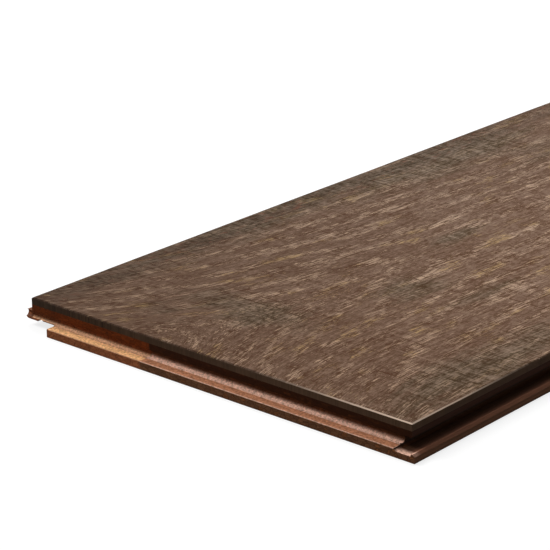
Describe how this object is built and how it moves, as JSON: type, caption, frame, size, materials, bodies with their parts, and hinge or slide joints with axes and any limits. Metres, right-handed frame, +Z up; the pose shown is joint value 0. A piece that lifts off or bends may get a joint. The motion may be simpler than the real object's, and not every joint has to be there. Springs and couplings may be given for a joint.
{
  "type": "engineered floorboard",
  "caption": "Long engineered floorboard: a sawn hardwood wear layer bonded on a strand-wood core with a click-lock tongue, groove and lip milled on its edges.",
  "frame": {"origin": "centre of the laid face's outline, on the underside", "axes": "+X across the board towards the groove side, +Y along the board away from the groove end, +Z up to the walking face"},
  "size_m": [0.199, 1.2268, 0.012],
  "materials": {
    "sawn_wear_layer": "matt sawn and brushed, grey-brown stain",
    "strand_core": "pressed strands, planed faces and milled edges"
  },
  "bodies": {
    "root": {"wear_layer": "sawn_wear_layer", "core_board": "strand_core"}
  },
  "joints": []
}
